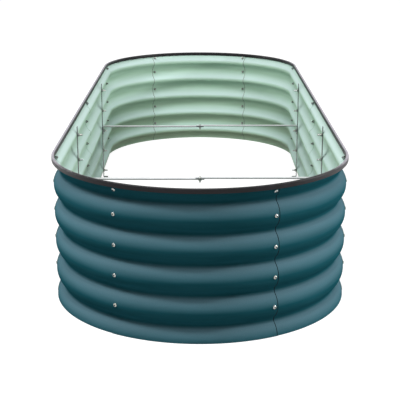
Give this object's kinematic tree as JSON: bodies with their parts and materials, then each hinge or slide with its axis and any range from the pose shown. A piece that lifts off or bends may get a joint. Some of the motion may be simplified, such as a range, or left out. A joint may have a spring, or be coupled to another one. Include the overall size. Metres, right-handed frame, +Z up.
{
  "type": "raised garden bed",
  "caption": "Long raised garden bed with round ends: a ring of corrugated sheet panels bolted at lapped seams, edging on the rim and bars across, open at top and bottom.",
  "frame": {"origin": "on the ground, at the middle of the bed", "axes": "+X across the bed, +Y along it to the far round end, +Z up"},
  "size_m": [0.8772, 2.5838, 0.432],
  "materials": {
    "painted_sheet": "semi-gloss paint on corrugated steel, dark teal outside and pale green inside",
    "rubber_edging": "matt black rubber with fine cross ribs",
    "zinc_fasteners": "zinc-plated steel",
    "galvanised_bar": "galvanised flat bar"
  },
  "bodies": {
    "root": {"far_centre_nut": "zinc_fasteners", "far_centre_screw": "zinc_fasteners", "far_end_panel": "painted_sheet", "far_left_corner_panel": "painted_sheet", "far_left_corner_seam_nuts": "zinc_fasteners", "far_left_corner_seam_screws": "zinc_fasteners", "far_left_cross_bar": "galvanised_bar", "far_left_end_seam_nuts": "zinc_fasteners", "far_left_end_seam_screws": "zinc_fasteners", "far_left_side_panel": "painted_sheet", "far_left_upright": "galvanised_bar", "far_left_upright_nuts": "zinc_fasteners", "far_left_upright_screws": "zinc_fasteners", "far_right_corner_panel": "painted_sheet", "far_right_corner_seam_nuts": "zinc_fasteners", "far_right_corner_seam_screws": "zinc_fasteners", "far_right_cross_bar": "galvanised_bar", "far_right_end_seam_nuts": "zinc_fasteners", "far_right_end_seam_screws": "zinc_fasteners", "far_right_side_panel": "painted_sheet", "far_right_upright": "galvanised_bar", "far_right_upright_nuts": "zinc_fasteners", "far_right_upright_screws": "zinc_fasteners", "left_middle_seam_nuts": "zinc_fasteners", "left_middle_seam_screws": "zinc_fasteners", "near_centre_nut": "zinc_fasteners", "near_centre_screw": "zinc_fasteners", "near_end_panel": "painted_sheet", "near_left_corner_panel": "painted_sheet", "near_left_corner_seam_nuts": "zinc_fasteners", "near_left_corner_seam_screws": "zinc_fasteners", "near_left_cross_bar": "galvanised_bar", "near_left_end_seam_nuts": "zinc_fasteners", "near_left_end_seam_screws": "zinc_fasteners", "near_left_side_panel": "painted_sheet", "near_left_upright": "galvanised_bar", "near_left_upright_nuts": "zinc_fasteners", "near_left_upright_screws": "zinc_fasteners", "near_right_corner_panel": "painted_sheet", "near_right_corner_seam_nuts": "zinc_fasteners", "near_right_corner_seam_screws": "zinc_fasteners", "near_right_cross_bar": "galvanised_bar", "near_right_end_seam_nuts": "zinc_fasteners", "near_right_end_seam_screws": "zinc_fasteners", "near_right_side_panel": "painted_sheet", "near_right_upright": "galvanised_bar", "near_right_upright_nuts": "zinc_fasteners", "near_right_upright_screws": "zinc_fasteners", "right_middle_seam_nuts": "zinc_fasteners", "right_middle_seam_screws": "zinc_fasteners", "rubber_edging": "rubber_edging"}
  },
  "joints": []
}
